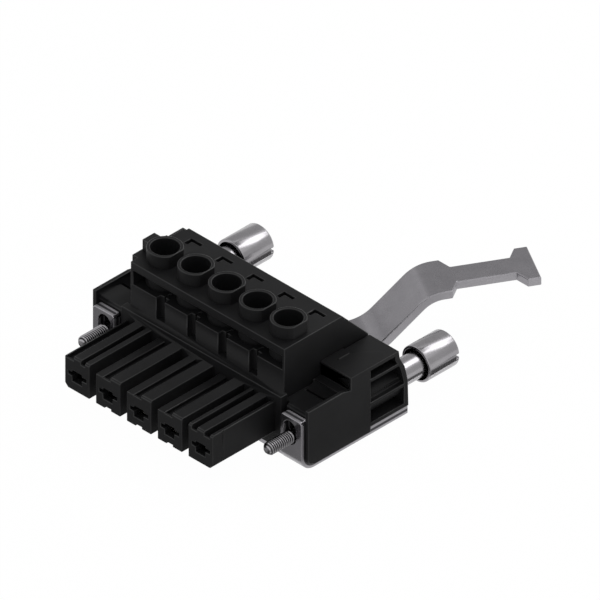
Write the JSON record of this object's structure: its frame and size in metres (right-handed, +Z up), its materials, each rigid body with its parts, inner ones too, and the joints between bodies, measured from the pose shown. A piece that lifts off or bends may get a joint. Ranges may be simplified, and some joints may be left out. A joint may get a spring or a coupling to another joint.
{
  "type": "pcb plug connector",
  "caption": "Pluggable PCB connector with clamping-yoke screw terminals, screw flanges and a metal shield plate with a cable-tie arm",
  "frame": {"origin": "on the underside of the shield plate, below the clamp screw of the middle pole", "axes": "+X along the row of poles, -Y towards the board header that it plugs into, +Z up along the clamp screws"},
  "size_m": [0.0532, 0.0795, 0.0246],
  "materials": {
    "housing_plastic": "moulded glass-filled polyamide, black",
    "shield_steel": "tin-plated sheet, satin",
    "flange_screw_steel": "nickel-plated, turned",
    "contact_alloy": "tin-plated copper alloy",
    "spring_steel": "stainless spring strip",
    "clamp_steel": "zinc-plated steel"
  },
  "bodies": {
    "plug_body": {"housing": "housing_plastic", "flange_left": "housing_plastic", "flange_right": "housing_plastic", "shield_plate": "shield_steel", "flange_sleeve_left": "flange_screw_steel", "flange_sleeve_right": "flange_screw_steel", "contact_1": "contact_alloy", "contact_2": "contact_alloy", "contact_3": "contact_alloy", "contact_4": "contact_alloy", "contact_5": "contact_alloy", "contact_spring_1": "spring_steel", "contact_spring_2": "spring_steel", "contact_spring_3": "spring_steel", "contact_spring_4": "spring_steel", "contact_spring_5": "spring_steel"},
    "flange_screw_left_body": {"flange_screw_left": "flange_screw_steel"},
    "flange_screw_right_body": {"flange_screw_right": "flange_screw_steel"},
    "clamp_screw_1_body": {"clamp_screw_1": "clamp_steel"},
    "clamp_yoke_1_body": {"clamp_yoke_1": "clamp_steel"},
    "clamp_screw_2_body": {"clamp_screw_2": "clamp_steel"},
    "clamp_yoke_2_body": {"clamp_yoke_2": "clamp_steel"},
    "clamp_screw_3_body": {"clamp_screw_3": "clamp_steel"},
    "clamp_yoke_3_body": {"clamp_yoke_3": "clamp_steel"},
    "clamp_screw_4_body": {"clamp_screw_4": "clamp_steel"},
    "clamp_yoke_4_body": {"clamp_yoke_4": "clamp_steel"},
    "clamp_screw_5_body": {"clamp_screw_5": "clamp_steel"},
    "clamp_yoke_5_body": {"clamp_yoke_5": "clamp_steel"}
  },
  "joints": [
    {"name": "flange_screw_left_turn", "type": "hinge", "parent": "plug_body", "child": "flange_screw_left_body", "pos_m": [-0.02286, 0, 0.00655], "axis": [0, -1, 0], "continuous": true},
    {"name": "flange_screw_right_turn", "type": "hinge", "parent": "plug_body", "child": "flange_screw_right_body", "pos_m": [0.02286, 0, 0.00655], "axis": [0, -1, 0], "continuous": true},
    {"name": "clamp_screw_1_turn", "type": "hinge", "parent": "plug_body", "child": "clamp_screw_1_body", "pos_m": [-0.01524, 0, 0.015], "axis": [0, 0, -1], "range_deg": [0, 2880]},
    {"name": "clamp_yoke_1_lift", "type": "slide", "parent": "plug_body", "child": "clamp_yoke_1_body", "axis": [0, 0, 1], "range_m": [0, 0.004]},
    {"name": "clamp_screw_2_turn", "type": "hinge", "parent": "plug_body", "child": "clamp_screw_2_body", "pos_m": [-0.00762, 0, 0.015], "axis": [0, 0, -1], "range_deg": [0, 2880]},
    {"name": "clamp_yoke_2_lift", "type": "slide", "parent": "plug_body", "child": "clamp_yoke_2_body", "axis": [0, 0, 1], "range_m": [0, 0.004]},
    {"name": "clamp_screw_3_turn", "type": "hinge", "parent": "plug_body", "child": "clamp_screw_3_body", "pos_m": [0, 0, 0.015], "axis": [0, 0, -1], "range_deg": [0, 2880]},
    {"name": "clamp_yoke_3_lift", "type": "slide", "parent": "plug_body", "child": "clamp_yoke_3_body", "axis": [0, 0, 1], "range_m": [0, 0.004]},
    {"name": "clamp_screw_4_turn", "type": "hinge", "parent": "plug_body", "child": "clamp_screw_4_body", "pos_m": [0.00762, 0, 0.015], "axis": [0, 0, -1], "range_deg": [0, 2880]},
    {"name": "clamp_yoke_4_lift", "type": "slide", "parent": "plug_body", "child": "clamp_yoke_4_body", "axis": [0, 0, 1], "range_m": [0, 0.004]},
    {"name": "clamp_screw_5_turn", "type": "hinge", "parent": "plug_body", "child": "clamp_screw_5_body", "pos_m": [0.01524, 0, 0.015], "axis": [0, 0, -1], "range_deg": [0, 2880]},
    {"name": "clamp_yoke_5_lift", "type": "slide", "parent": "plug_body", "child": "clamp_yoke_5_body", "axis": [0, 0, 1], "range_m": [0, 0.004]}
  ],
  "couplings": [
    {"joint": "clamp_screw_1_turn", "follows": "clamp_yoke_1_lift", "rad_per_m": 12566},
    {"joint": "clamp_screw_2_turn", "follows": "clamp_yoke_2_lift", "rad_per_m": 12566},
    {"joint": "clamp_screw_3_turn", "follows": "clamp_yoke_3_lift", "rad_per_m": 12566},
    {"joint": "clamp_screw_4_turn", "follows": "clamp_yoke_4_lift", "rad_per_m": 12566},
    {"joint": "clamp_screw_5_turn", "follows": "clamp_yoke_5_lift", "rad_per_m": 12566}
  ]
}
